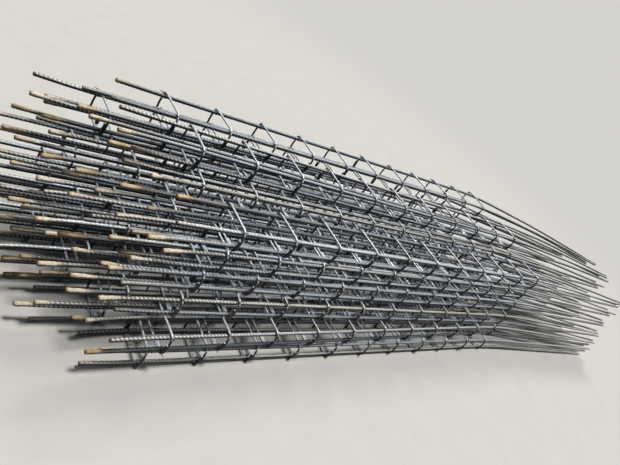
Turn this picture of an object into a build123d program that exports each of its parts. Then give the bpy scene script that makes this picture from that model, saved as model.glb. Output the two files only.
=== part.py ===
from build123d import *

import os

# Heap of prefabricated rebar cages, lying on level ground.
#
# Each cage has four long ribbed bars, one in every corner of a row of closed
# rectangular rings bent from thin rod. The cages lie flat in layers. A ring's
# lower leg rests on the bars of the cage below, between that cage's own rings,
# so the layers nest by one rod thickness.

# Sizes in millimetres, angles in degrees.
bar_dia = 16.0           # long bars, over the core of the ribs
bar_length = 4000.0      # a 12 m stock bar cut in three
rod_dia = 8.0            # rod of the rings
ring_width = 170.0       # outside, across the cage
ring_height = 96.0       # outside, from bottom leg to top leg
ring_corner = 7.0        # corner cut of the rings on the outer cages
ring_pitch = 225.0       # from ring to ring
ring_count = 11          # rings on a cage
seat_gap = 0.3           # clearance where bar, ring and layer rest on each other
side_gap = 8.0           # room between cages that lie side by side

bend_after = 60.0        # straight bar past the last ring
gather_at = 0.55         # share of the free end where its second bend lies
gather_part = 0.72       # share of the drawing together reached at that bend
tip_spacing = 26.0       # bar to bar, centre to centre, at the gathered tips
tip_lift_base = 22.0     # how far the bottom layer's tips are held up by the ground
tip_drop = 6.0           # how far the other layers' tips hang

bar_sides = 8            # flats on the bars

# How many steps further each bar's left end stands out: front low, front high, back low, back high.
# From cage to cage the order is turned on, by one place a layer and three a neighbour.
stagger_order = [2, 0, 1, 3]
turn_on_layer = 1
turn_on_neighbour = 3

# Every cage, layer by layer from the ground and from the front to the back. Along the bars:
# the first ring's place, the left overhang and the step of the stagger, in ring pitches. Across:
# the column that the cage is near, its place beside that column and the tips' sideways swing,
# in ring widths. Then the turn about the vertical, in degrees, and whether it is an outer cage.
layers = [
    [
        (0.00, 0.67, 0.09, 0, 0.00, 1.03, 0.0, True),
        (-0.44, 0.80, 0.13, 1, 0.00, 1.06, 0.2, False),
        (-0.84, 0.76, 0.18, 2, 0.01, 1.06, 0.3, False),
        (-1.20, 0.84, 0.13, 3, 0.01, 1.06, 0.4, False),
    ],
    [
        (0.18, 0.76, 0.11, 0, -0.08, 1.35, 1.2, True),
        (-0.27, 0.84, 0.16, 1, -0.08, 1.35, 1.2, False),
        (-0.67, 0.89, 0.18, 2, -0.08, 1.30, 1.1, False),
        (-1.02, 0.76, 0.16, 3, -0.08, 1.24, 1.0, False),
    ],
    [
        (0.28, 0.89, 0.16, 0, 0.39, 1.06, -0.4, True),
        (-0.09, 0.84, 0.18, 1, 0.39, 1.06, -0.3, False),
        (-0.84, 0.80, 0.20, 2, 0.39, 1.06, -0.2, False),
        (-1.18, 0.84, 0.16, 3, 0.39, 1.06, -0.1, False),
    ],
    [
        (0.46, 0.98, 0.13, 0, 0.59, 1.06, -0.4, True),
        (-0.47, 0.84, 0.18, 1, 0.59, 1.06, -0.3, False),
        (-0.49, 0.89, 0.18, 2, 0.59, 1.06, -0.2, False),
        (-0.89, 0.84, 0.16, 3, 0.59, 1.06, -0.1, False),
    ],
    [
        (0.68, 1.02, 0.16, 0, 0.65, 1.12, 0.0, True),
        (0.09, 0.93, 0.18, 1, 0.65, 1.12, 0.0, False),
        (-0.27, 0.98, 0.18, 2, 0.65, 1.12, 0.1, False),
        (-0.49, 0.89, 0.18, 3, 0.65, 1.12, 0.2, False),
    ],
    [
        (0.78, 0.89, 0.16, 0, 0.75, 1.03, -0.3, True),
        (0.45, 0.84, 0.16, 1, 0.96, 1.03, -0.5, True),
        (-0.71, 0.70, 0.12, 3, 0.53, 1.53, 1.2, False),
    ],
    [
        (0.34, 0.96, 0.16, 2, 0.32, 1.18, -1.2, True),
        (0.19, 0.82, 0.20, 3, 0.35, 2.47, 1.5, True),
    ],
]

column_width = ring_width + side_gap
layer_rise = ring_height - rod_dia
bar_y = ring_width / 2 - rod_dia - seat_gap - bar_dia / 2
bar_z = ring_height / 2 - rod_dia - seat_gap - bar_dia / 2
last_ring = ring_pitch * (ring_count - 1)


def ring_solid(outer):
    """One closed ring, its first bottom corner at the origin, seen along the cage."""
    with BuildPart() as ring:
        with BuildSketch(Plane.YZ) as outline:
            with Locations((ring_width / 2, ring_height / 2)):
                Rectangle(ring_width, ring_height)
                if outer:
                    chamfer(outline.vertices(), length=ring_corner)
                Rectangle(ring_width - 2 * rod_dia, ring_height - 2 * rod_dia, mode=Mode.SUBTRACT)
        extrude(amount=rod_dia / 2, both=True)
    return ring.part.solid()


def bar_section(point):
    """The bar's flat-sided outline, square to the cage, at a point of its run."""
    turn = 180.0 / bar_sides
    outline = RegularPolygon(bar_dia / 2, bar_sides, major_radius=False, rotation=turn)
    return Plane(origin=point, x_dir=(0, 1, 0), z_dir=(1, 0, 0)) * outline


def bar_solid(side, height, reach, gather_x, swing, lift, top):
    """One long bar: straight through the rings, then drawn in towards the gathered tips."""
    mid_y = ring_width / 2
    mid_z = ring_height / 2
    bend_x = last_ring + bend_after
    start = Vector(bend_x, mid_y + side * bar_y, mid_z + height * bar_z)
    half = tip_spacing / 2
    gather = Vector(gather_x, mid_y + side * half - swing, mid_z + height * half + lift)
    run = [Vector(-reach, start.Y, start.Z), start]
    if top:
        way = gather - start
        run.append(start + Vector(way.X * gather_at, way.Y * gather_at * gather_part, way.Z * gather_part))
    # The bar may be cut off before the point where the cage's bars lie closest.
    last_way = gather - run[-1]
    share = (bar_length - reach - run[-1].X) / last_way.X
    run.append(run[-1] + last_way * share)
    return loft([bar_section(point) for point in run], ruled=True).solid()


def cage(level, number, place):
    """Bars and rings of one cage, in place in the heap."""
    along, overhang, step, column, beside, swing, turn, outer = place
    x = along * ring_pitch
    y = column * column_width + beside * ring_width
    where = Location((x, y, level * layer_rise), (0, 0, turn))
    lift = tip_lift_base if level == 0 else -tip_drop
    top = level == len(layers) - 1
    gather_x = bar_length - overhang * ring_pitch
    turned_on = level * turn_on_layer + number * turn_on_neighbour
    bars = []
    for corner, order in enumerate(stagger_order):
        side = -1 if corner < 2 else 1
        height = -1 if corner % 2 == 0 else 1
        steps = (order + turned_on) % len(stagger_order)
        reach = (overhang + step * steps) * ring_pitch
        bar = bar_solid(side, height, reach, gather_x, swing * ring_width, lift, top)
        bars.append(bar.moved(where))
    ring = outer_ring if outer else inner_ring
    rings = [ring.moved(where * Location((ring_pitch * k, 0, 0))) for k in range(ring_count)]
    return bars, rings


outer_ring = ring_solid(True)
inner_ring = ring_solid(False)
nodes = {}
for level, row in enumerate(layers):
    for number, place in enumerate(row):
        name = f"layer_{level + 1}_cage_{number + 1}"
        bars, rings = cage(level, number, place)
        nodes[name + "_bars"] = bars
        nodes[name + "_rings"] = rings

# The origin goes to the middle of the heap's box, on the ground.
box = Compound([solid for solids in nodes.values() for solid in solids]).bounding_box()
shift = Location((-(box.min.X + box.max.X) / 2, -(box.min.Y + box.max.Y) / 2, -box.min.Z))

os.makedirs("parts", exist_ok=True)
for name, solids in nodes.items():
    node = Compound([solid.moved(shift) for solid in solids])
    node.label = name
    export_step(node, f"parts/{name}.step")
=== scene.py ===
import math

import bpy
import numpy as np
from mathutils import Euler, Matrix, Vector


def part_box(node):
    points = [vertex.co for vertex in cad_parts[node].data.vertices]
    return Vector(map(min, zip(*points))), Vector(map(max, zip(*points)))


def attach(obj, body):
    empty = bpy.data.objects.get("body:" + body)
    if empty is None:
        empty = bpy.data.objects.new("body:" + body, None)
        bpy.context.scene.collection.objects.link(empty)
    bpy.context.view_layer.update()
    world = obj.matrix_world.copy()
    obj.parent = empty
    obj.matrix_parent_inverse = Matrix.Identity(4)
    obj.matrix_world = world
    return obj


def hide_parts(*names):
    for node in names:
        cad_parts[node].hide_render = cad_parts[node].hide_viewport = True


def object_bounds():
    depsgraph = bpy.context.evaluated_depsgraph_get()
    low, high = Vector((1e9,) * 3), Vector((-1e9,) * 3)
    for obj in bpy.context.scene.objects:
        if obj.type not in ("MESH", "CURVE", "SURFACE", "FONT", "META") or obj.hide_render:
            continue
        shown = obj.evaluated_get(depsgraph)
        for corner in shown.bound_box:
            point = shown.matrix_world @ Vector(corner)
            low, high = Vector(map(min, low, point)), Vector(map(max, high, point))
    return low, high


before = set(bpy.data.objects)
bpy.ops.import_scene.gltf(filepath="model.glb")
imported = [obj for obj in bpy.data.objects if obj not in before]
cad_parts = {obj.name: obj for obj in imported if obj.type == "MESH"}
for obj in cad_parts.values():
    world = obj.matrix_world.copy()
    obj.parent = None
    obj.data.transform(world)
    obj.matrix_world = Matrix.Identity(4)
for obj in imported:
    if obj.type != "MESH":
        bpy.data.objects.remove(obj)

cad_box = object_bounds()

# The heap of cages lies along X. The bars' rusted ends are on its left, and on its right the four
# bars of each cage are drawn together. All sizes are in metres.

# Sizes of the solids
SECTION_SIDES = 8            # corners of a bar's section in the frame's mesh
SEAT_OFFSET = 0.0163         # a bar's centre line from the ring's outer faces
ROD_RADIUS = 0.004
RING_WIDTH = 0.170
RING_HEIGHT = 0.096

# The bars' centre lines
BEND_EASE = 0.25             # length over which a bar's bend is spread, to each side
BEND_POINTS = 7              # points of the centre line on each bend
FREE_END = 0.22              # length over which a bar's left end drifts off its line
DRIFT = (0.011, 0.005)       # how far the left end drifts at most, across the cage and up

# The bars' cores
BAR_RADIUS = 0.0072          # between the ribs
BAR_SIDES = 10
BAR_TAPER = 0.0011           # how much thinner the bar is at its very ends
TAPER_LENGTH = 0.001
LEFT_SECTIONS = [0.03, 0.07]
EVEN_START = 0.12            # from here a bar's sections are evenly spaced
EVEN_STEP = 0.11
EVEN_END = 0.05              # the even sections stop this far from the tip
TIP_SECTION = 0.02           # the last section but two, from the tip
BODY_CREST = 0.12            # how little of the grooves' dirt and painted shade the core takes, where a rib's foot is 0 and its crest 1
COVERED_SHADE_TINT = 0.7           # the palest tint of a covered bar, where an outer one's is 1, so that bars inside the heap are painted darker as shade

# The bars' ribs
RIB_RADIUS = 0.0081          # over the ribs
RIB_PITCH = 0.0140
RIB_WIDTH = 0.0074
RIB_END_WIDTH = 0.35         # a rib's width at its ends, as a share of its width in the middle
RIB_BLUNTNESS = 0.6          # a rib rises as a sine to this power
RIB_SLANT = 0.0055           # how far a rib's end runs along the bar from its middle
RIB_SINK = 0.0002            # how deep a rib's foot lies under the core's flats
RIB_STATIONS = BAR_SIDES // 2  # a rib goes half round the bar, with a station at each flat
RIB_MARGIN = 0.008           # length without ribs at each end of the ribbed stretch
RIBBED_STRETCH = 0.75        # how much of a bar inside the heap has modelled ribs, from its left end
LOOK_AHEAD = 0.002           # the bar's direction at a rib is measured over this length

# The rusted sleeves over left ends
CRUSTED_SHARE = 0.72         # how many of the bars have one
CRUST_REACH = (0.022, 0.062)
CRUST_STEP = 0.006
CRUST_SECTIONS = 4           # the fewest sections of a sleeve
CRUST_RADII = (0.0073, 0.0089)
CRUST_CRESTS = (0.2, 1.0)    # how little of the grooves' dirt and painted shade its points take, on the same scale as the core
CRUST_ROUNDING = 0.0012      # how much thinner the sleeve is at its very end
CRUST_SHOULDER = 0.0002      # how much thicker it is at its next section
CRUST_SINK = 0.0003          # how deep its right-hand edge lies in the core
CORE_START = 0.003           # where the core starts inside a sleeve
STAIN_PAST_CRUST = (0.0, 0.02)
STAIN_WITHOUT_CRUST = (-0.03, 0.02)  # a length below 0 leaves most of the end without a stain

# The rings
RING_BEND = 0.020            # radius of the rod's centre line round a bar
LEG_BOW = 0.002              # how far the middle of a ring's upright leg stands out from its ends
LEG_POINTS = 5
LAP_TOP = 0.010              # height above the ring's middle where the rod's first end lies
LAP_TAIL = 0.045             # length of the other end along the bottom leg
LAP_SPAN = 0.010             # the rod's offset along the cage from one end to the other
RING_LEAN = (0.05, 0.02)     # the most that a ring leans along the cage, for each metre up and across
MIRRORED_SHARE = 0.25        # how many of the rings have their lap at the other corner
RING_TINT_SPREAD = 0.2
OUTER_BEND_POINTS = 6
COVERED_BEND_POINTS = 4
OUTER_ROD_SIDES = 8
COVERED_ROD_SIDES = 6

# The wire ties
WIRE_RADIUS = 0.0009
WIRE_SIDES = 4
TIE_POINTS = 9
TIE_GAP = 0.0015             # from the core to the wire's line behind it
TIE_REACH = 0.0172           # from the bar's centre line to the wire's line over the ring
TIE_HALF_WIDTH = 0.0095
TIE_SKEW = 0.7               # how much each winding runs across and along
TAIL_ROOT = 0.85             # where the tail starts, as a share of the winding's half length
TAIL_OUT = 0.2               # how much the tail points outward
TAIL_SPREAD = 0.9            # how much it may point sideways and along
TAIL_LENGTH = (0.012, 0.022)
TAIL_POINTS = 4
TAIL_KINK = 0.0015
TAIL_INSET = 0.003           # the tail's line keeps this far inside the heap's box
TAIL_THICKNESS = [1.7, 2.0, 1.8, 1.0]  # in wire radii, at each of the tail's points

# A cage's name gives its layer, counted from the floor, and its place, counted from the front. The
# cages at the front and on top have every detail, and those at the back have ribs along whole bars.
FRONT_CAGES = [f"layer_{layer}_cage_1" for layer in range(1, 6)]
BACK_CAGES = [f"layer_{layer}_cage_4" for layer in range(1, 6)]
TOP_CAGES = ["layer_6_cage_1", "layer_6_cage_2", "layer_6_cage_3", "layer_7_cage_1", "layer_7_cage_2"]
OUTER_CAGES = FRONT_CAGES + TOP_CAGES

rng = np.random.default_rng(7)


# Reading the cages from the frame

SAME_CORNER = 5              # points that agree to so many decimals are one corner
SAME_COLUMN = 2              # bars whose places across agree to so many are one above the other


def loose_parts(node):
    """The corner points of each closed solid of a node."""
    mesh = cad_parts[node].data
    points = np.array([v.co for v in mesh.vertices])
    keys, place = np.unique(np.round(points, SAME_CORNER), axis=0, return_inverse=True)
    place = place.ravel()
    owner = np.arange(len(keys))

    def root(i):
        """The corner that stands for the solid of corner i."""
        while owner[i] != i:
            owner[i] = owner[owner[i]]
            i = owner[i]
        return i

    for polygon in mesh.polygons:
        corners = [place[v] for v in polygon.vertices]
        for corner in corners[1:]:
            owner[root(corner)] = root(corners[0])
    groups = {}
    for i in range(len(keys)):
        groups.setdefault(root(i), []).append(i)
    return [keys[group] for group in groups.values()]


def bar_paths(cage):
    """The centre points of each bar of a cage, from its left end over its bends to its tip."""
    paths = []
    for points in loose_parts(cage + "_bars"):
        ordered = points[np.argsort(points[:, 0])]
        sections = ordered.reshape(-1, SECTION_SIDES, 3)
        paths.append(sections.mean(axis=1))
    return sorted(paths, key=lambda p: (round(p[0][1], SAME_COLUMN), p[0][2]))


def ring_places(cage):
    """The middle point of each ring of a cage, from the left."""
    places = [(points.min(axis=0) + points.max(axis=0)) / 2 for points in loose_parts(cage + "_rings")]
    return sorted(places, key=lambda p: p[0])


def cage_axes(cage):
    """Unit vectors along a cage, across it and up."""
    first = bar_paths(cage)[0]
    along = (first[1] - first[0]) / np.linalg.norm(first[1] - first[0])
    up = np.array([0.0, 0.0, 1.0])
    return along, np.cross(up, along), up


# Mesh helpers

# Values that the materials read at each point: the length from the bar's or rod's start, the sine
# of the angle round it, the length of its stained end, a shade for the whole bar, whether its ribs
# are left to the material, and how near the point is to a rib's crest.
POINT_VALUES = ["along", "turn", "stain", "tint", "plain", "crest"]


class MeshData:
    """Collects points, faces and point values of one piece."""

    def __init__(self):
        self.points = []
        self.faces = []
        self.values = {name: [] for name in POINT_VALUES}
        self.count = 0

    def add(self, points, faces, **values):
        """Adds points with their values, and faces that count from the first of these points."""
        points = np.asarray(points, float).reshape(-1, 3)
        self.points.append(points)
        self.faces.extend((np.asarray(faces) + self.count).tolist())
        for name, parts in self.values.items():
            value = np.asarray(values.get(name, 0.0), float)
            parts.append(np.broadcast_to(value, len(points)))
        self.count += len(points)

    def build(self, name, material):
        """The finished piece, linked into the scene."""
        mesh = bpy.data.meshes.new(name)
        mesh.from_pydata(np.concatenate(self.points).tolist(), [], self.faces)
        for key, parts in self.values.items():
            attribute = mesh.attributes.new(key, "FLOAT", "POINT")
            attribute.data.foreach_set("value", np.concatenate(parts).astype(np.float32))
        mesh.shade_smooth()
        mesh.materials.append(material)
        piece = bpy.data.objects.new(name, mesh)
        bpy.context.scene.collection.objects.link(piece)
        return piece


# Where an open tube's end faces stand in its list of faces.
START_CAP = -2
END_CAP = -1

ALONG_X = 0.8                # a unit vector with this much X counts as running along X


def tube(centres, across, up, radius, sides, closed=False):
    """Points and faces of a tube along centres, with across and up spanning each section."""
    centres = np.asarray(centres, float)
    count = len(centres)
    angles = np.arange(sides) * 2 * math.pi / sides
    cosines = np.cos(angles)[None, :, None]
    sines = np.sin(angles)[None, :, None]
    circle = cosines * across[:, None, :] + sines * up[:, None, :]
    radii = np.asarray(radius, float)
    if radii.ndim < 2:
        radii = np.broadcast_to(radii, count)[:, None]
    points = centres[:, None, :] + circle * radii[:, :, None]
    step = np.arange(count if closed else count - 1)[:, None] * sides
    side = np.arange(sides)[None, :]
    turn = (side + 1) % sides
    after = (step + sides) % (count * sides)
    quads = np.stack([step + side, step + turn, after + turn, after + side], axis=-1).reshape(-1, 4)
    faces = quads.tolist()
    if not closed:
        faces.append(list(range(sides))[::-1])
        faces.append(list(range((count - 1) * sides, count * sides)))
    return points.reshape(-1, 3), faces


def section_axes(centres, closed=False):
    """Two unit vectors across the run of a line at each of its points."""
    centres = np.asarray(centres, float)
    if closed:
        way = np.roll(centres, -1, axis=0) - np.roll(centres, 1, axis=0)
    else:
        way = np.gradient(centres, axis=0)
    way /= np.linalg.norm(way, axis=1)[:, None]
    across = np.zeros_like(way)
    runs_along_x = abs(way[0][0]) >= ALONG_X
    last = np.array([0.0, 0.0, 1.0]) if runs_along_x else np.array([1.0, 0.0, 0.0])
    for i, direction in enumerate(way):
        last = last - direction * last.dot(direction)
        last /= np.linalg.norm(last)
        across[i] = last
    return across, np.cross(way, across)


def running_lengths(line):
    """The length of a line from its start to each of its points."""
    steps = np.linalg.norm(np.diff(line, axis=0), axis=1)
    return np.concatenate([[0], np.cumsum(steps)])


def sample(path, places):
    """Points of a line at the given lengths from its start."""
    lengths = running_lengths(path)
    return np.stack([np.interp(places, lengths, path[:, axis]) for axis in range(3)], axis=1)


def add_capped(data, tube_parts, ends, **values):
    """Adds a tube whose end faces have points of their own, so that their edges stay sharp."""
    points, faces = tube_parts
    data.add(points, faces[:START_CAP], **values)
    for end in ends:
        cap = faces[end]
        cap_values = {}
        for name, value in values.items():
            cap_values[name] = np.broadcast_to(np.asarray(value, float), len(points))[cap]
        data.add(points[cap], [list(range(len(cap)))], **cap_values)


# Bars

def eased_path(corners):
    """A bar's centre line with its bends spread out as smooth curves."""
    points = [corners[0]]
    for before, corner, after in zip(corners, corners[1:], corners[2:]):
        back = (before - corner) / np.linalg.norm(before - corner)
        ahead = (after - corner) / np.linalg.norm(after - corner)
        start = corner + back * BEND_EASE
        end = corner + ahead * BEND_EASE
        for share in np.linspace(0, 1, BEND_POINTS):
            points.append(start * (1 - share) ** 2 + corner * 2 * share * (1 - share) + end * share ** 2)
    points.append(corners[-1])
    return np.array(points)


def rib_template():
    """One pair of crescent ribs round a bar: along, radius, angle and crest of each point, and faces."""
    points = []
    faces = []
    foot = BAR_RADIUS * math.cos(math.pi / BAR_SIDES) - RIB_SINK
    last = RIB_STATIONS - 1
    for half in (0, 1):
        first = len(points)
        for station in range(RIB_STATIONS):
            angle = (half * RIB_STATIONS + 0.5 + station) * 2 * math.pi / BAR_SIDES
            shift = (station - last / 2) / (last / 2) * RIB_SLANT
            rise = math.sin(station * math.pi / last) ** RIB_BLUNTNESS if 0 < station < last else 0.0
            width = RIB_WIDTH / 2 * (RIB_END_WIDTH + (1 - RIB_END_WIDTH) * rise)
            crest = foot + (RIB_RADIUS - foot) * rise
            for offset, radius, share in ((-width, foot, 0.0), (0, crest, rise), (width, foot, 0.0)):
                points.append((shift + offset, radius, angle, share))

        # Each station has three points: a foot, the crest and the other foot.
        for station in range(last):
            a = first + station * 3
            faces.append((a, a + 1, a + 4, a + 3))
            faces.append((a + 1, a + 2, a + 5, a + 4))
    return np.array(points), np.array(faces)


RIB_POINTS, RIB_FACES = rib_template()


def bar_tube(place_of, axes, stations, radii):
    """Points and faces of a tube along a bar's line, with a section at each station."""
    wide = np.repeat(axes[0][None], len(stations), axis=0)
    tall = np.repeat(axes[1][None], len(stations), axis=0)
    return tube(place_of(stations), wide, tall, radii, BAR_SIDES)


def add_crust(data, place_of, axes, reach, values):
    """The knobbly rusted sleeve over a bar's left end."""
    stations = np.linspace(0, reach, max(CRUST_SECTIONS, int(reach / CRUST_STEP)))
    radii = rng.uniform(*CRUST_RADII, (len(stations), BAR_SIDES))
    radii[0] -= CRUST_ROUNDING
    radii[1] += CRUST_SHOULDER
    radii[-1] = BAR_RADIUS - CRUST_SINK
    along = np.repeat(stations, BAR_SIDES)
    crest = rng.uniform(*CRUST_CRESTS, len(along))
    sleeve = bar_tube(place_of, axes, stations, radii)
    add_capped(data, sleeve, [START_CAP], along=along, crest=crest, **values)


def add_core(data, place_of, axes, start, length, ribbed, values):
    """A bar's core, from its start to its length, plain past its ribbed stretch."""
    stations = np.unique(np.concatenate([
        [start, start + TAPER_LENGTH],
        LEFT_SECTIONS,
        np.arange(EVEN_START, length - EVEN_END, EVEN_STEP),
        [length - TIP_SECTION, length - TAPER_LENGTH, length],
    ]))
    radii = np.full(len(stations), BAR_RADIUS)
    radii[0] -= BAR_TAPER
    radii[-1] -= BAR_TAPER
    along = np.repeat(stations, BAR_SIDES)
    turn = np.tile(np.sin(np.arange(BAR_SIDES) * 2 * math.pi / BAR_SIDES), len(stations))
    plain = (along > ribbed) * 1.0
    core = bar_tube(place_of, axes, stations, radii)
    ends = [START_CAP, END_CAP]
    add_capped(data, core, ends, along=along, turn=turn, plain=plain, crest=BODY_CREST, **values)


def add_ribs(data, place_of, axes, ribbed, values):
    """Crescent ribs at even steps along a bar's ribbed stretch."""
    places = np.arange(RIB_MARGIN, ribbed - RIB_MARGIN, RIB_PITCH)
    middle = place_of(places)
    way = place_of(places + LOOK_AHEAD) - middle
    way /= np.linalg.norm(way, axis=1)[:, None]
    shift, radius, angle, crest = RIB_POINTS.T
    round_bar = np.cos(angle)[:, None] * axes[0] + np.sin(angle)[:, None] * axes[1]
    outward = (radius[:, None] * round_bar)[None]
    points = middle[:, None, :] + shift[None, :, None] * way[:, None, :] + outward
    count = len(RIB_POINTS)
    first = (np.arange(len(places)) * count)[:, None, None]
    faces = (RIB_FACES[None] + first).reshape(-1, 4)
    data.add(points, faces, along=np.repeat(places, count), crest=np.tile(crest, len(places)), **values)


def add_bar(data, corners, across, up, cage):
    """One ribbed bar of a cage, along its corners."""
    outer = cage in OUTER_CAGES
    path = eased_path(corners)
    length = running_lengths(path)[-1]
    drift = rng.uniform(-1, 1, 2) * DRIFT

    def place_of(places):
        """Points of the bar's line, whose free left end drifts a little, as handled bars do."""
        share = np.clip((FREE_END - places) / FREE_END, 0, 1)[:, None] ** 2
        return sample(path, places) + share * (drift[0] * across + drift[1] * up)

    crusted = rng.random() < CRUSTED_SHARE
    reach = rng.uniform(*CRUST_REACH)
    stain = reach + rng.uniform(*STAIN_PAST_CRUST) if crusted else rng.uniform(*STAIN_WITHOUT_CRUST)
    # Covered bars inside the heap get darker tints, as painted shade.
    values = {"tint": rng.random() * (1.0 if outer else COVERED_SHADE_TINT), "stain": stain}
    twist = rng.random() * 2 * math.pi
    wide = math.cos(twist) * across + math.sin(twist) * up
    tall = -math.sin(twist) * across + math.cos(twist) * up
    axes = (wide, tall)
    ribbed = length if outer or cage in BACK_CAGES else RIBBED_STRETCH
    if crusted:
        add_crust(data, place_of, axes, reach, values)
    add_core(data, place_of, axes, CORE_START if crusted else 0.0, length, ribbed, values)
    add_ribs(data, place_of, axes, ribbed, values)


# Rings and ties

def ring_line(bend_points):
    """A ring's centre line, its ends lapped at the lower front corner, as across and up offsets."""
    bend_y = RING_WIDTH / 2 - ROD_RADIUS - LEG_BOW - RING_BEND
    bend_z = RING_HEIGHT / 2 - ROD_RADIUS - RING_BEND
    quarter = math.pi / 2
    line = []

    def bend(side, height, start):
        """A quarter turn of the rod round one bar."""
        for angle in np.linspace(start, start + quarter, bend_points):
            y = side * bend_y + RING_BEND * math.cos(angle)
            z = height * bend_z + RING_BEND * math.sin(angle)
            line.append((y, z))

    def leg(side, start, end):
        """The points between the ends of an upright leg, which bows outward."""
        for z in np.linspace(start, end, LEG_POINTS)[1:-1]:
            bow = LEG_BOW * (1 - (z / bend_z) ** 2)
            line.append((side * (bend_y + RING_BEND + bow), z))

    line.append((-(bend_y + RING_BEND + LEG_BOW), LAP_TOP))
    leg(-1, LAP_TOP, -bend_z)
    bend(-1, -1, 2 * quarter)
    bend(1, -1, 3 * quarter)
    leg(1, -bend_z, bend_z)
    bend(1, 1, 0)
    bend(-1, 1, quarter)
    leg(-1, bend_z, -bend_z)
    bend(-1, -1, 2 * quarter)
    line.append((-bend_y + LAP_TAIL, -(bend_z + RING_BEND)))
    return np.array(line)


def add_ring(data, middle, axes, mirrored, lean, tint, outer):
    """One ring bent from rod, its ends lying side by side at one lower corner."""
    along, across, up = axes
    line = ring_line(OUTER_BEND_POINTS if outer else COVERED_BEND_POINTS)
    lengths = running_lengths(line)
    offset = (lengths / lengths[-1] - 0.5) * LAP_SPAN
    side = -1.0 if mirrored else 1.0
    centres = (
        middle
        + side * line[:, :1] * across
        + line[:, 1:] * up
        + (offset + lean[0] * line[:, 1] + lean[1] * line[:, 0])[:, None] * along
    )
    wide, tall = section_axes(centres)
    sides = OUTER_ROD_SIDES if outer else COVERED_ROD_SIDES
    rod = tube(centres, wide, tall, ROD_RADIUS, sides)
    add_capped(data, rod, [START_CAP, END_CAP], along=np.repeat(lengths, sides), tint=tint)


def add_tie(data, corner, outward, along, side, tint):
    """Wire wound crosswise over a ring and a bar, with its twisted tail."""
    reach_in = BAR_RADIUS + TIE_GAP
    centre = corner + outward * (TIE_REACH - reach_in) / 2
    half_length = (TIE_REACH + reach_in) / 2
    angles = np.arange(TIE_POINTS) * 2 * math.pi / TIE_POINTS
    cosines = np.cos(angles)[:, None]
    sines = np.sin(angles)[:, None]
    for lean in (-1, 1):
        skew = side * TIE_SKEW + along * TIE_SKEW * lean
        line = centre + cosines * outward * half_length + sines * skew * TIE_HALF_WIDTH
        wide, tall = section_axes(line, closed=True)
        points, faces = tube(line, wide, tall, WIRE_RADIUS, WIRE_SIDES, closed=True)
        data.add(points, faces, tint=tint)

    root = centre + outward * half_length * TAIL_ROOT
    sideways = side * rng.uniform(-TAIL_SPREAD, TAIL_SPREAD)
    way = outward * TAIL_OUT + sideways + along * rng.uniform(-TAIL_SPREAD, TAIL_SPREAD)
    way /= np.linalg.norm(way)
    tail = root + np.linspace(0, 1, TAIL_POINTS)[:, None] * way * rng.uniform(*TAIL_LENGTH)
    tail[1:] += rng.uniform(-1, 1, (TAIL_POINTS - 1, 3)) * TAIL_KINK
    # A tail that meets the floor or the heap's outside is pressed flat there.
    tail = np.clip(tail, np.array(cad_box[0]) + TAIL_INSET, np.array(cad_box[1]) - TAIL_INSET)
    wide, tall = section_axes(tail)
    points, faces = tube(tail, wide, tall, WIRE_RADIUS * np.array(TAIL_THICKNESS), WIRE_SIDES)
    data.add(points, faces, tint=tint)


def add_ring_ties(data, middle, paths, axes, lean, only_upper):
    """The ties of one ring, at each bar or at its two upper bars."""
    along, across, up = axes
    for corners in paths:
        start = corners[0]
        bar_point = start + along * (middle - start).dot(along)
        side = 1.0 if (bar_point - middle).dot(across) > 0 else -1.0
        height = 1.0 if bar_point[2] > middle[2] else -1.0
        if only_upper and height < 0:
            continue
        outward = (across * side + up * height) / math.sqrt(2)
        sideways = (across * side - up * height) / math.sqrt(2)
        corner = bar_point + along * lean[0] * (bar_point[2] - middle[2])
        add_tie(data, corner, outward, along, sideways, rng.random())


# Node helpers

def node_tree(name):
    """A new material, its node tree and its shader."""
    material = bpy.data.materials.new(name)
    material.use_nodes = True
    tree = material.node_tree
    return material, tree, tree.nodes["Principled BSDF"]


def place_of_point(tree):
    """Each point's place in metres, in the shared frame."""
    return tree.nodes.new("ShaderNodeTexCoord").outputs["Object"]


def value_of(tree, name):
    """One of the values that the meshes hold at each point."""
    node = tree.nodes.new("ShaderNodeAttribute")
    node.attribute_name = name
    return node.outputs["Fac"]


def noise(tree, source, pattern):
    """A pattern of noise, 0 to 1, from its scale, detail and roughness."""
    scale, detail, roughness = pattern
    node = tree.nodes.new("ShaderNodeTexNoise")
    node.inputs["Scale"].default_value = scale
    node.inputs["Detail"].default_value = detail
    node.inputs["Roughness"].default_value = roughness
    tree.links.new(source, node.inputs["Vector"])
    return node.outputs["Fac"]


def ramp(tree, source, tones):
    """Colours over a value, from tones of a place and a colour."""
    node = tree.nodes.new("ShaderNodeValToRGB")
    tree.links.new(source, node.inputs["Fac"])
    elements = node.color_ramp.elements
    while len(elements) < len(tones):
        elements.new(0.5)
    for element, (place, colour) in zip(elements, tones):
        element.position = place
        element.color = (*colour, 1.0)
    return node.outputs["Color"]


def fade(tree, source, levels):
    """A level over a value, from levels of a place and a height."""
    return ramp(tree, source, [(place, (height, height, height)) for place, height in levels])


def maths(tree, operation, *values):
    """The result of one operation on numbers and sockets."""
    node = tree.nodes.new("ShaderNodeMath")
    node.operation = operation
    for socket, value in zip(node.inputs, values):
        if isinstance(value, (int, float)):
            socket.default_value = value
        else:
            tree.links.new(value, socket)
    return node.outputs[0]


def centred(tree, pattern, spread):
    """A pattern from 0 to 1 turned into one of a given spread round 0."""
    return maths(tree, "MULTIPLY_ADD", pattern, spread, -spread / 2)


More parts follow.
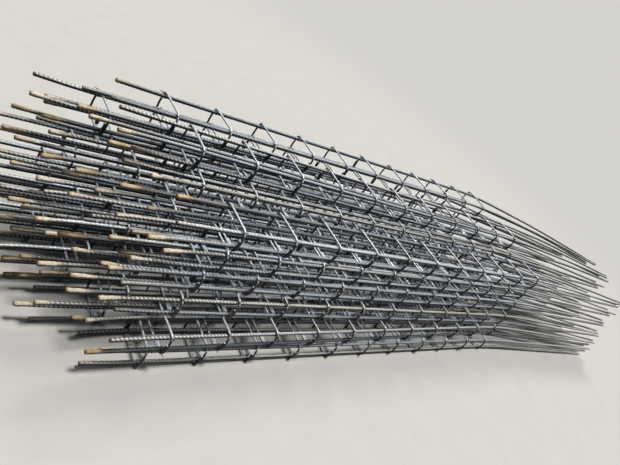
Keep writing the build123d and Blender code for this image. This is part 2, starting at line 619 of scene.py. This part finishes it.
def mix(tree, factor, first, second):
    """The first colour where the factor is 0, and the second where it is 1."""
    node = tree.nodes.new("ShaderNodeMix")
    node.data_type = "RGBA"
    sockets = {s.identifier: s for s in node.inputs}
    tree.links.new(factor, sockets["Factor_Float"])
    for key, value in (("A_Color", first), ("B_Color", second)):
        if isinstance(value, tuple):
            sockets[key].default_value = (*value, 1.0)
        else:
            tree.links.new(value, sockets[key])
    return next(s for s in node.outputs if s.identifier == "Result_Color")


def coat(tree, below, value, colour_and_levels):
    """What is below under a coat of one colour, which covers it by levels over a value."""
    colour, levels = colour_and_levels
    return mix(tree, fade(tree, value, levels), below, colour)


# Splits a surface into an upper side with dust and painted light and an underside with painted shade.
def facing_up(tree, heights, patch):
    """0 on undersides, 1 on tops, changing raggedly between two heights of the surface's normal."""
    start, end = heights
    split = tree.nodes.new("ShaderNodeSeparateXYZ")
    tree.links.new(tree.nodes.new("ShaderNodeNewGeometry").outputs["Normal"], split.inputs["Vector"])
    height = maths(tree, "MULTIPLY_ADD", split.outputs["Z"], 0.5, 0.5)
    ragged = maths(tree, "ADD", height, centred(tree, patch, RAGGED_DUST_AND_SHADE_EDGE))
    return fade(tree, ragged, [(start / 2 + 0.5, 0.0), (end / 2 + 0.5, 1.0)])


def bump(tree, height, relief, below=None):
    """Relief of a distance and a strength, on top of the relief below it."""
    distance, strength = relief
    node = tree.nodes.new("ShaderNodeBump")
    node.inputs["Strength"].default_value = strength
    node.inputs["Distance"].default_value = distance
    tree.links.new(height, node.inputs["Height"])
    if below is not None:
        tree.links.new(below, node.inputs["Normal"])
    return node.outputs["Normal"]


# The steel's look, in four kinds of values:
# - noise: scale, detail and roughness
# - tones: places on a ramp and their colours
# - levels: places on a ramp and their heights
# - relief: distance and strength
# A coat is a colour and the levels by which it covers what is below.

RAGGED_DUST_AND_SHADE_EDGE = 0.3            # how far the edge strays between an upper side of dust and painted light and an underside of painted shade, where facing down is 0 and up is 1
DULL_GLOSS = 0.15            # the steel's specular level under its scale and dust

# The bars' patterns and relief
BROAD_NOISE = (3.0, 4.0, 0.6)
PATCH_NOISE = (22.0, 4.0, 0.6)
GRAIN_NOISE = (420.0, 3.0, 0.7)
KNOB_NOISE = (150.0, 2.0, 0.5)
BLOOM_NOISE = (2.2, 2.0, 0.6)
RIB_RELIEF = (0.0011, 1.0)
KNOB_RELIEF = (0.004, 1.0)
GRAIN_RELIEF = (0.0006, 0.6)

# The bars' clean steel
BAR_DUST_AND_LIGHT = (0.27, 0.56)    # heights of the normal between which a bar's upper side, pale with dust and painted light, sets in over its painted-shade underside
BAR_METAL = 0.4              # how metallic a clean upper side is
BAR_ROUGHNESS = [(0.3, 0.33), (0.7, 0.52)]
# The scale's blue is partly a painted reflection of the sky.
SCALE_TONES = [(0.32, (0.62, 0.71, 0.83)), (0.68, (0.84, 0.92, 0.98))]
DARK_SCALE = ((0.085, 0.115, 0.16), [(0.0, 0.75), (0.30, 0.35), (0.50, 0.0)])
PALE_DUST = ((0.86, 0.83, 0.73), [(0.60, 0.0), (1.0, 0.85)])
BROWN_DUST = ((0.46, 0.38, 0.27), [(0.50, 0.0), (0.70, 0.45)])
END_DUST = ((0.58, 0.50, 0.37), [(0.0, 0.0), (0.32, 0.75)])
END_DUST_RUN = (-1.4, 0.6)   # change along the bar, for each metre, and the patches' share
TIP_DUST = ((0.86, 0.84, 0.77), [(0.70, 0.0), (0.95, 0.7)])
TIP_DUST_RUN = (0.25, 0.2)
BLOOM = ((0.64, 0.47, 0.35), [(0.60, 0.0), (0.74, 0.6)])
BLOOM_SPREAD = 60.0          # how far apart in the noise a dark and a pale bar read their blooms
# A bar's underside is painted near-black, as shade.
UNDERSIDE_SHADE = (0.016, 0.023, 0.034)
UNDERSIDE_DUST = ((0.065, 0.065, 0.058), [(0.3, 0.0), (1.0, 0.5)])

# The dirt and painted shade between the ribs, darkest at a rib's foot, whose amount is a sine of the
# bar's tint
GROOVE_DIRT_AND_SHADE = (0.018, 0.020, 0.023)
GROOVE_LEVELS = [(0.0, 1.0), (0.55, 0.0)]
GROOVE_ALONG = [(0.25, 1.0), (0.9, 0.6)]
GROOVE_DARK_MEAN = 0.72
GROOVE_DARK_SWING = 0.25
GROOVE_DARK_CHANGE = 40.0           # the sine's angle from the darkest bar to the palest
# Rib crests are worn bright and carry a painted highlight.
CREST_WEAR_AND_HIGHLIGHT = ((0.84, 0.88, 0.92), [(0.5, 0.0), (1.0, 0.65)])
STEEL_SPECKS = ((0.06, 0.055, 0.05), [(0.55, 0.0), (0.75, 0.32)])

# The bars' rusted ends
STAIN_RAGGED = 0.09          # how far the stain's edge strays along the bar
STAIN_EDGE = [(0.35, 1.0), (0.65, 0.0)]
RUST_TONES = [(0.20, (0.48, 0.34, 0.18)), (0.36, (0.80, 0.69, 0.49)), (0.60, (0.95, 0.90, 0.77))]
RUST_BY_PATCH = 0.8          # how much the patches and the bar's shade make the rust paler
RUST_BY_TINT = 0.45
RUST_START = -0.12
RUST_SPOTS = ((0.54, 0.35, 0.15), [(0.42, 0.5), (0.56, 0.0)])
RUST_RIM = ((0.42, 0.22, 0.09), [(0.2, 0.7), (0.8, 0.0)])
RUST_PITS = ((0.24, 0.14, 0.08), [(0.5, 0.0), (0.75, 0.45)])
# A rusted end's underside is painted dark, as shade.
RUST_UNDERSIDE_SHADE = (0.13, 0.075, 0.04)
RUST_UNDERLIT = 0.2          # how much of the rust's own colour its underside keeps under the painted shade
RUST_ROUGHNESS = 0.3         # how much rougher rust is than steel


def ragged_run(tree, along, patch, run):
    """A value that changes along the bar, with ragged patches."""
    change, share = run
    return maths(tree, "MULTIPLY_ADD", patch, share, maths(tree, "MULTIPLY", along, change))


def upper_colour(tree, place, patch, along, tint):
    """A bar's upper side in painted light, from blue scale to pale dust, from bar to bar and along each
    bar.
    """
    scale = ramp(tree, noise(tree, place, BROAD_NOISE), SCALE_TONES)
    toned = coat(tree, scale, tint, DARK_SCALE)
    pale = coat(tree, toned, tint, PALE_DUST)
    dusty = coat(tree, pale, patch, BROWN_DUST)

    # Brown dust lies on the left ends, and the right-hand parts are paler again.
    ends = coat(tree, dusty, ragged_run(tree, along, patch, END_DUST_RUN), END_DUST)
    tips = coat(tree, ends, ragged_run(tree, along, patch, TIP_DUST_RUN), TIP_DUST)

    # Some bars have a bloom of rust on part of their length.
    run = tree.nodes.new("ShaderNodeCombineXYZ")
    tree.links.new(along, run.inputs["X"])
    tree.links.new(maths(tree, "MULTIPLY", tint, BLOOM_SPREAD), run.inputs["Y"])
    return coat(tree, tips, noise(tree, run.outputs["Vector"], BLOOM_NOISE), BLOOM)


def steel_colour(tree, place, patch, fine, crest, dust_and_painted_light):
    """A bar past its rusted end: upper side in painted light, underside in painted shade, grooves with
    dirt and painted shade, and crests worn and painted bright.
    """
    along = value_of(tree, "along")
    tint = value_of(tree, "tint")
    upper = upper_colour(tree, place, patch, along, tint)
    # The underside takes the painted shade, and the upper side its colour in painted light.
    sides = mix(tree, dust_and_painted_light, coat(tree, UNDERSIDE_SHADE, tint, UNDERSIDE_DUST), upper)

    # How dark the grooves are with dirt and painted shade differs from bar to bar, and away from the
    # left ends they are lighter.
    swing = maths(tree, "SINE", maths(tree, "MULTIPLY", tint, GROOVE_DARK_CHANGE))
    dirt_and_shade = maths(tree, "MULTIPLY_ADD", swing, GROOVE_DARK_SWING, GROOVE_DARK_MEAN)
    hollow = maths(tree, "MULTIPLY", fade(tree, crest, GROOVE_LEVELS), dirt_and_shade)
    groove = maths(tree, "MULTIPLY", hollow, fade(tree, along, GROOVE_ALONG))
    # Grooves are darkened with dirt and painted shade.
    darkened_grooves = mix(tree, groove, sides, GROOVE_DIRT_AND_SHADE)
    # Crests are worn bright with a painted highlight, and the steel has dark specks.
    return coat(tree, coat(tree, darkened_grooves, crest, CREST_WEAR_AND_HIGHLIGHT), fine, STEEL_SPECKS)


def rust_cover(tree, patch):
    """1 on a bar's stained left end, 0 past its ragged edge."""
    past = maths(tree, "SUBTRACT", value_of(tree, "along"), value_of(tree, "stain"))
    ragged = maths(tree, "ADD", past, centred(tree, patch, STAIN_RAGGED))
    # A ramp reads values from 0 to 1, so a half is added to put the stain's edge in its middle.
    decimetres = maths(tree, "MULTIPLY_ADD", ragged, 10.0, 0.5)
    return fade(tree, decimetres, STAIN_EDGE)


def rust_colour(tree, patch, fine, knobs, dust_and_painted_light):
    """The rusted end: brown, ochre or cream, with darker spots, rim and pits, and its underside painted
    dark as shade.
    """
    from_tint = maths(tree, "MULTIPLY_ADD", value_of(tree, "tint"), RUST_BY_TINT, RUST_START)
    shade = maths(tree, "MULTIPLY_ADD", patch, RUST_BY_PATCH, from_tint)
    spotted = coat(tree, ramp(tree, shade, RUST_TONES), knobs, RUST_SPOTS)
    centimetres = maths(tree, "MULTIPLY", value_of(tree, "along"), 100.0)
    rimmed = coat(tree, spotted, centimetres, RUST_RIM)
    pitted = coat(tree, rimmed, fine, RUST_PITS)
    # The underside is painted dark, as shade.
    lit = maths(tree, "MULTIPLY_ADD", dust_and_painted_light, 1 - RUST_UNDERLIT, RUST_UNDERLIT)
    return mix(tree, lit, RUST_UNDERSIDE_SHADE, pitted)


def drawn_ribs(tree):
    """0 to 1 in slanting waves along a bar, where its ribs are left to the material."""
    slant = maths(tree, "MULTIPLY", value_of(tree, "turn"), RIB_SLANT)
    slanted = maths(tree, "ADD", value_of(tree, "along"), slant)
    wave = maths(tree, "SINE", maths(tree, "MULTIPLY", slanted, 2 * math.pi / RIB_PITCH))
    return maths(tree, "MULTIPLY", maths(tree, "MULTIPLY_ADD", wave, 0.5, 0.5), value_of(tree, "plain"))


def bar_material():
    """Blue-grey rolled steel, some bars dusty and pale, with ragged ochre rust at the left end."""
    material, tree, shader = node_tree("ribbed_steel")
    place = place_of_point(tree)
    patch = noise(tree, place, PATCH_NOISE)
    fine = noise(tree, place, GRAIN_NOISE)
    knobs = noise(tree, place, KNOB_NOISE)
    drawn = drawn_ribs(tree)
    crest = maths(tree, "MAXIMUM", value_of(tree, "crest"), drawn)
    # Tops take dust and painted light, and undersides take painted shade.
    dust_and_painted_light = facing_up(tree, BAR_DUST_AND_LIGHT, patch)
    rusty = rust_cover(tree, patch)
    steel = steel_colour(tree, place, patch, fine, crest, dust_and_painted_light)
    rust = rust_colour(tree, patch, fine, knobs, dust_and_painted_light)
    tree.links.new(mix(tree, rusty, steel, rust), shader.inputs["Base Color"])

    clean_top = maths(tree, "MULTIPLY", maths(tree, "SUBTRACT", 1.0, rusty), dust_and_painted_light)
    tree.links.new(maths(tree, "MULTIPLY", clean_top, BAR_METAL), shader.inputs["Metallic"])
    shader.inputs["Specular IOR Level"].default_value = DULL_GLOSS
    steel_rough = fade(tree, fine, BAR_ROUGHNESS)
    rough = maths(tree, "MULTIPLY_ADD", rusty, RUST_ROUGHNESS, steel_rough)
    tree.links.new(rough, shader.inputs["Roughness"])

    ribs = bump(tree, drawn, RIB_RELIEF)
    knobbly = bump(tree, maths(tree, "MULTIPLY", knobs, rusty), KNOB_RELIEF, ribs)
    tree.links.new(bump(tree, fine, GRAIN_RELIEF, knobbly), shader.inputs["Normal"])
    return material


# The rings' rod
ROD_PATCH_NOISE = (25.0, 4.0, 0.6)
ROD_GRAIN_NOISE = (300.0, 3.0, 0.6)
DENT_PITCH = 0.007
DENT_RELIEF = (0.0002, 0.4)
ROD_GRAIN_RELIEF = (0.0003, 0.5)
ROD_DUST_AND_LIGHT = (0.14, 0.42)    # heights of the normal between which a rod's upper side, pale with dust and painted light, sets in over its painted-shade underside
ROD_METAL = 0.35
ROD_ROUGHNESS = [(0.3, 0.28), (0.7, 0.48)]
# The rod's pale bluish upper side is partly a painted reflection of the sky.
ROD_TONES = [(0.3, (0.68, 0.78, 0.90)), (0.7, (0.88, 0.95, 1.0))]
# A rod's underside is painted near-black, as shade.
ROD_UNDERSIDE_SHADE = (0.036, 0.045, 0.060)
ROD_BLOOM = ((0.36, 0.29, 0.21), [(0.6, 0.0), (1.0, 0.35)])
# The dents' troughs are painted a little darker, as shade.
ROD_DENT_SHADE = ((0.10, 0.105, 0.11), [(0.0, 0.1), (0.5, 0.0)])
ROD_SPECKS = ((0.08, 0.08, 0.08), [(0.5, 0.0), (0.8, 0.2)])


def rod_material():
    """Grey drawn rod, pale with dust and painted light on its upper side and painted dark beneath as
    shade, with a faint brown bloom.
    """
    material, tree, shader = node_tree("ring_rod_steel")
    place = place_of_point(tree)
    patch = noise(tree, place, ROD_PATCH_NOISE)
    fine = noise(tree, place, ROD_GRAIN_NOISE)
    turns = maths(tree, "MULTIPLY", value_of(tree, "along"), 2 * math.pi / DENT_PITCH)
    dents = maths(tree, "SINE", turns)
    dust_and_painted_light = facing_up(tree, ROD_DUST_AND_LIGHT, patch)
    # The underside takes the painted shade, and the upper side the pale tones in painted light.
    base = mix(tree, dust_and_painted_light, ROD_UNDERSIDE_SHADE, ramp(tree, patch, ROD_TONES))
    brown = coat(tree, base, value_of(tree, "tint"), ROD_BLOOM)
    # The troughs of the dents are painted darker, as shade.
    dent_shaded = coat(tree, brown, dents, ROD_DENT_SHADE)
    tree.links.new(coat(tree, dent_shaded, fine, ROD_SPECKS), shader.inputs["Base Color"])

    tree.links.new(maths(tree, "MULTIPLY", dust_and_painted_light, ROD_METAL), shader.inputs["Metallic"])
    shader.inputs["Specular IOR Level"].default_value = DULL_GLOSS
    tree.links.new(fade(tree, fine, ROD_ROUGHNESS), shader.inputs["Roughness"])

    waves = bump(tree, dents, DENT_RELIEF)
    tree.links.new(bump(tree, fine, ROD_GRAIN_RELIEF, waves), shader.inputs["Normal"])
    return material


# The ties' wire
WIRE_NOISE = (150.0, 4.0, 0.6)
WIRE_TONES = [(0.35, (0.030, 0.028, 0.027)), (0.7, (0.12, 0.085, 0.06))]
WIRE_METAL = 0.4
WIRE_ROUGHNESS = 0.6
WIRE_RELIEF = (0.0003, 0.5)


def wire_material():
    """Annealed tying wire, dark with brown specks."""
    material, tree, shader = node_tree("tying_wire")
    fine = noise(tree, place_of_point(tree), WIRE_NOISE)
    tree.links.new(ramp(tree, fine, WIRE_TONES), shader.inputs["Base Color"])
    shader.inputs["Metallic"].default_value = WIRE_METAL
    shader.inputs["Roughness"].default_value = WIRE_ROUGHNESS
    tree.links.new(bump(tree, fine, WIRE_RELIEF), shader.inputs["Normal"])
    return material


# The cages

def seated_paths(cage, across):
    """The cage's bars as the rounder bends of the modelled rings hold them."""
    paths = bar_paths(cage)
    middle = np.mean([path[0] for path in paths], axis=0)
    seat = RING_BEND + ROD_RADIUS - (RING_BEND - SEAT_OFFSET + ROD_RADIUS) / math.sqrt(2)
    for path in paths:
        side = np.sign((path[0] - middle).dot(across))
        height = np.sign(path[0][2] - middle[2])
        path[:-1] -= side * (seat + LEG_BOW - SEAT_OFFSET) * across
        path[:-1, 2] -= height * (seat - SEAT_OFFSET)
    return paths


def dress_bars(cage, paths, axes, material):
    """A cage's four bars, in place of their solids."""
    along, across, up = axes
    bars = MeshData()
    for corners in paths:
        add_bar(bars, corners, across, up, cage)
    piece = bars.build("steel_" + cage + "_bars", material)
    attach(piece, "root")
    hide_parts(cage + "_bars")


def dress_rings(cage, paths, axes, rod, wire):
    """A cage's rings in place of their solids, and the ties that hold them to its bars."""
    outer = cage in OUTER_CAGES
    rings = MeshData()
    ties = MeshData()
    tint = rng.random()
    for k, middle in enumerate(ring_places(cage)):
        lean = rng.uniform(-1, 1, 2) * RING_LEAN
        mirrored = rng.random() < MIRRORED_SHARE
        ring_tint = np.clip(tint + rng.uniform(-RING_TINT_SPREAD, RING_TINT_SPREAD), 0, 1)
        add_ring(rings, middle, axes, mirrored, lean, ring_tint, outer)
        # On a covered cage every second ring has ties, at its upper corners.
        if outer or k % 2 == 0:
            add_ring_ties(ties, middle, paths, axes, lean, not outer)
    piece = rings.build("steel_" + cage + "_rings", rod)
    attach(piece, "root")
    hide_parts(cage + "_rings")
    piece = ties.build("wire_" + cage + "_ties", wire)
    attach(piece, "root")


def cages():
    """The names of all cages, from the front of the lowest layer to the back of the highest."""
    return sorted(name[: -len("_bars")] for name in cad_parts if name.endswith("_bars"))


# The floor

# The pale colour of the floor as lit, which the world shares.
PALE = (0.66, 0.645, 0.61)
FLOOR_NOISE = (6.0, 4.0, 0.6)
FLOOR_TONES = [(0.3, (0.60, 0.585, 0.555)), (0.7, (0.635, 0.62, 0.585))]
FLOOR_ROUGHNESS = 0.9
FLOOR_BOUNCE = (0.22, 0.21, 0.19)
FLOOR_HALF = 60.0
PALE_FROM = 3.0              # distance from the middle where the floor starts to go over into PALE
PALE_TO = 7.5


def seen_directly(tree):
    """1 for what the camera sees, straight or in a reflection."""
    path = tree.nodes.new("ShaderNodeLightPath")
    return maths(tree, "MAXIMUM", path.outputs["Is Camera Ray"], path.outputs["Is Glossy Ray"])


def floor_material():
    """Pale and faintly mottled, with the world's own colour far from the heap."""
    material, tree, shader = node_tree("pale_floor")
    place = place_of_point(tree)
    tone = ramp(tree, noise(tree, place, FLOOR_NOISE), FLOOR_TONES)
    # The floor throws only a little light back on the heap's undersides.
    tree.links.new(mix(tree, seen_directly(tree), FLOOR_BOUNCE, tone), shader.inputs["Base Color"])
    shader.inputs["Roughness"].default_value = FLOOR_ROUGHNESS

    length = tree.nodes.new("ShaderNodeVectorMath")
    length.operation = "LENGTH"
    tree.links.new(place, length.inputs[0])
    distance = tree.nodes.new("ShaderNodeMapRange")
    distance.interpolation_type = "SMOOTHSTEP"
    distance.inputs["From Min"].default_value = PALE_FROM
    distance.inputs["From Max"].default_value = PALE_TO
    tree.links.new(length.outputs["Value"], distance.inputs["Value"])
    far = maths(tree, "MULTIPLY", distance.outputs["Result"], seen_directly(tree))
    glow = tree.nodes.new("ShaderNodeEmission")
    glow.inputs["Color"].default_value = (*PALE, 1.0)
    blend = tree.nodes.new("ShaderNodeMixShader")
    tree.links.new(far, blend.inputs["Fac"])
    tree.links.new(shader.outputs["BSDF"], blend.inputs[1])
    tree.links.new(glow.outputs["Emission"], blend.inputs[2])
    tree.links.new(blend.outputs["Shader"], tree.nodes["Material Output"].inputs["Surface"])
    return material


def make_floor():
    """A wide level floor under the heap."""
    half = FLOOR_HALF
    corners = [(-half, -half, 0), (half, -half, 0), (half, half, 0), (-half, half, 0)]
    mesh = bpy.data.meshes.new("floor")
    mesh.from_pydata(corners, [], [(0, 1, 2, 3)])
    mesh.materials.append(floor_material())
    floor = bpy.data.objects.new("floor", mesh)
    bpy.context.scene.collection.objects.link(floor)


# The lights

AMBIENT = (0.05, 0.06, 0.075)
LAMP_WIDTH = math.radians(12)
LAMP_COLOUR = (1.0, 0.985, 0.96)

# Each broad lamp's name, strength and the way its light goes.
LAMPS = [
    ("overhead", 2.6, (-0.12, 0.10, -0.98)),
    ("behind", 1.1, (-0.48, -0.47, -0.74)),
]


def make_lights():
    """A pale world that lights little, a broad lamp overhead and a weaker one behind the heap."""
    world = bpy.data.worlds.new("studio")
    world.use_nodes = True
    tree = world.node_tree
    colour = mix(tree, seen_directly(tree), AMBIENT, PALE)
    tree.links.new(colour, tree.nodes["Background"].inputs["Color"])
    bpy.context.scene.world = world
    for name, strength, way in LAMPS:
        light = bpy.data.lights.new(name, "SUN")
        light.energy = strength
        light.angle = LAMP_WIDTH
        light.color = LAMP_COLOUR
        lamp = bpy.data.objects.new(name, light)
        lamp.rotation_euler = Vector(way).to_track_quat("-Z", "Y").to_euler()
        bpy.context.scene.collection.objects.link(lamp)


# The camera

# The camera's place is measured from the lower front corner of the lowest front cage's first ring.
CAMERA_PLACE = Vector((-0.853, -0.914, 1.394))
CAMERA_TURN = (57.9, -33.7, -31.4)
CAMERA_LENS = 30.82
SENSOR_WIDTH = 36
CLIP_START = 0.01


def make_camera():
    """The camera, at the photograph's viewing angle."""
    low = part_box(FRONT_CAGES[0] + "_rings")[0]
    anchor = Vector((low.x + ROD_RADIUS, low.y, 0))
    data = bpy.data.cameras.new("photo_camera")
    data.lens = CAMERA_LENS
    data.sensor_width = SENSOR_WIDTH
    data.clip_start = CLIP_START
    camera = bpy.data.objects.new("photo_camera", data)
    camera.location = anchor + CAMERA_PLACE
    camera.rotation_euler = Euler([math.radians(angle) for angle in CAMERA_TURN], "XYZ")
    bpy.context.scene.collection.objects.link(camera)
    bpy.context.scene.camera = camera


# The whole scene

bar_steel = bar_material()
rod_steel = rod_material()
tying_wire = wire_material()
for cage in cages():
    axes = cage_axes(cage)
    paths = seated_paths(cage, axes[1])
    dress_bars(cage, paths, axes, bar_steel)
    dress_rings(cage, paths, axes, rod_steel, tying_wire)
make_floor()
make_lights()
make_camera()
bpy.context.scene.view_settings.view_transform = "Standard"
